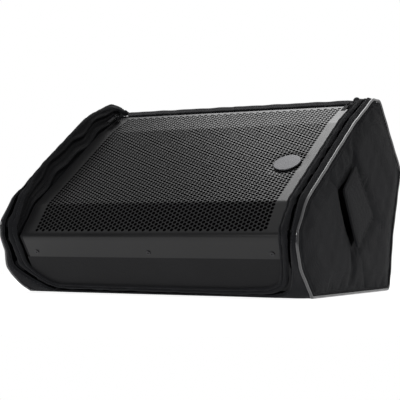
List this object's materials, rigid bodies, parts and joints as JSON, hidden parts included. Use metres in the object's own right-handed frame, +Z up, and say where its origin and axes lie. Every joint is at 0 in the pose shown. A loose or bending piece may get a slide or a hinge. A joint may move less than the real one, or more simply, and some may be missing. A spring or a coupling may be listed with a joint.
{
  "type": "stage monitor wedge",
  "caption": "Low sloping stage monitor loudspeaker with a folded perforated grille, sitting in its padded open-front transport cover.",
  "frame": {"origin": "on the ground, at the middle of the footprint box of the whole part", "axes": "+X across the width, -Y towards the listener (the sloping grille), +Z up"},
  "size_m": [0.5936, 0.4765, 0.3531],
  "materials": {
    "cabinet_paint": "black textured paint on birch plywood",
    "port_plastic": "matt black moulding",
    "foam": "open-cell acoustic foam",
    "foot_rubber": "black rubber",
    "handle_plastic": "grained black plastic",
    "grille_paint": "black powder-coated perforated steel",
    "badge": "satin grey, blank",
    "black_screws": "black oxide steel",
    "basket_cast": "black-coated cast aluminium",
    "gasket_foam": "soft black gasket",
    "surround_cloth": "treated cloth half roll",
    "cone_paper": "black paper cone",
    "spider_cloth": "resin-dipped cloth",
    "coil_wire": "enamelled winding on its former",
    "motor_steel": "zinc-plated steel",
    "magnet": "sintered magnet",
    "horn_plastic": "matt black moulding",
    "diaphragm": "thin metal dome",
    "panel_paint": "black powder-coated plate",
    "heatsink": "black anodised fins",
    "board": "green circuit board",
    "components": "mixed black components",
    "transformer": "ferrite core with taped winding",
    "socket_metal": "black die-cast",
    "latch": "bright steel push tab",
    "knob": "black knob with a white pointer",
    "button": "grey push button",
    "light": "clear green lens",
    "rocker": "black rocker",
    "rocker_frame": "black frame",
    "inlet": "blue-grey locking inlet",
    "lead": "black insulated lead",
    "cover_nylon": "padded black nylon, fine weave",
    "cover_binding": "ribbed binding tape with a stitched edge",
    "piping": "smooth black vinyl piping",
    "zip_tape": "woven zip tape with coil teeth",
    "zip_metal": "black enamelled slider"
  },
  "bodies": {
    "monitor": {"cabinet_sides": "cabinet_paint", "cabinet_front": "cabinet_paint", "cabinet_bottom": "cabinet_paint", "cabinet_baffle": "cabinet_paint", "cabinet_battens": "cabinet_paint", "cabinet_back_upper": "cabinet_paint", "cabinet_back_lower": "cabinet_paint", "port_tubes": "port_plastic", "damping_foam": "foam", "grille_foam": "foam", "rubber_feet": "foot_rubber", "handle_cups": "handle_plastic", "grille": "grille_paint", "grille_badge": "badge", "grille_screws": "black_screws", "panel_screws": "black_screws", "woofer_screws": "black_screws", "woofer_basket": "basket_cast", "woofer_gasket": "gasket_foam", "woofer_surround": "surround_cloth", "woofer_spider": "spider_cloth", "woofer_top_plate": "motor_steel", "woofer_yoke": "motor_steel", "woofer_magnet": "magnet", "hf_magnet": "magnet", "horn": "horn_plastic", "hf_cover": "horn_plastic", "hf_suspension": "diaphragm", "amp_panel": "panel_paint", "amp_heatsink": "heatsink", "amp_circuit_board": "board", "amp_board_components": "components", "control_bodies": "components", "amp_transformer": "transformer", "input_socket": "socket_metal", "link_socket": "socket_metal", "status_light": "light", "power_rocker_frame": "rocker_frame", "mains_inlet": "inlet", "speaker_lead": "lead", "cover_sides": "cover_nylon", "cover_bands": "cover_nylon", "cover_floor": "cover_nylon", "cover_back": "cover_nylon", "cover_bindings": "cover_binding", "side_piping": "piping", "zip_tapes": "zip_tape", "zip_sliders": "zip_metal"},
    "cone": {"woofer_cone": "cone_paper", "woofer_voice_coil": "coil_wire"},
    "hf_dome": {"hf_diaphragm": "diaphragm"},
    "knob": {"level_knob": "knob"},
    "button": {"preset_button": "button"},
    "rocker": {"power_rocker": "rocker"},
    "latch": {"input_latch": "latch"},
    "flap_left": {"handle_flap_left": "cover_nylon"},
    "flap_right": {"handle_flap_right": "cover_nylon"},
    "lid": {"cover_lid": "cover_nylon"},
    "pull_left": {"zip_pull_left": "zip_metal"},
    "pull_right": {"zip_pull_right": "zip_metal"}
  },
  "joints": [
    {"name": "woofer_cone_travel", "type": "slide", "parent": "monitor", "child": "cone", "axis": [0, -0.5637, 0.826], "range_m": [-0.006, 0.006], "stiffness_N_per_m": 6000, "deforming": ["woofer_surround", "woofer_spider"]},
    {"name": "hf_diaphragm_travel", "type": "slide", "parent": "monitor", "child": "hf_dome", "axis": [0, -0.5637, 0.826], "range_m": [-0.0004, 0.0004], "stiffness_N_per_m": 20000, "deforming": ["hf_suspension"]},
    {"name": "level_knob_turn", "type": "hinge", "parent": "monitor", "child": "knob", "pos_m": [-0.022, 0.18381, 0.07101], "axis": [0, 0.9738, -0.2272], "range_deg": [-150, 150]},
    {"name": "preset_button_press", "type": "slide", "parent": "monitor", "child": "button", "axis": [0, -0.9738, 0.2272], "range_m": [0, 0.0025], "stiffness_N_per_m": 400},
    {"name": "power_rocker_tilt", "type": "hinge", "parent": "monitor", "child": "rocker", "pos_m": [0.062, 0.17504, 0.07306], "axis": [1, 0, 0], "range_deg": [0, 21]},
    {"name": "input_latch_press", "type": "slide", "parent": "monitor", "child": "latch", "axis": [0, -0.9738, 0.2272], "range_m": [0, 0.0035], "stiffness_N_per_m": 500},
    {"name": "handle_flap_left_lift", "type": "hinge", "parent": "monitor", "child": "flap_left", "pos_m": [-0.28939, 0.00313, 0.22324], "axis": [0, 0.6944, -0.7195], "range_deg": [0, 150]},
    {"name": "handle_flap_right_lift", "type": "hinge", "parent": "monitor", "child": "flap_right", "pos_m": [0.28939, 0.00313, 0.22324], "axis": [0, -0.6944, 0.7195], "range_deg": [0, 150]},
    {"name": "cover_lid_lift", "type": "hinge", "parent": "monitor", "child": "lid", "pos_m": [0, 0.10307, 0.34206], "axis": [1, 0, 0], "range_deg": [0, 100]},
    {"name": "zip_pull_left_swing", "type": "hinge", "parent": "monitor", "child": "pull_left", "pos_m": [-0.249, 0.06977, 0.33815], "axis": [-1, 0, 0], "range_deg": [0, 150]},
    {"name": "zip_pull_right_swing", "type": "hinge", "parent": "monitor", "child": "pull_right", "pos_m": [0.249, 0.06977, 0.33815], "axis": [-1, 0, 0], "range_deg": [0, 150]}
  ]
}
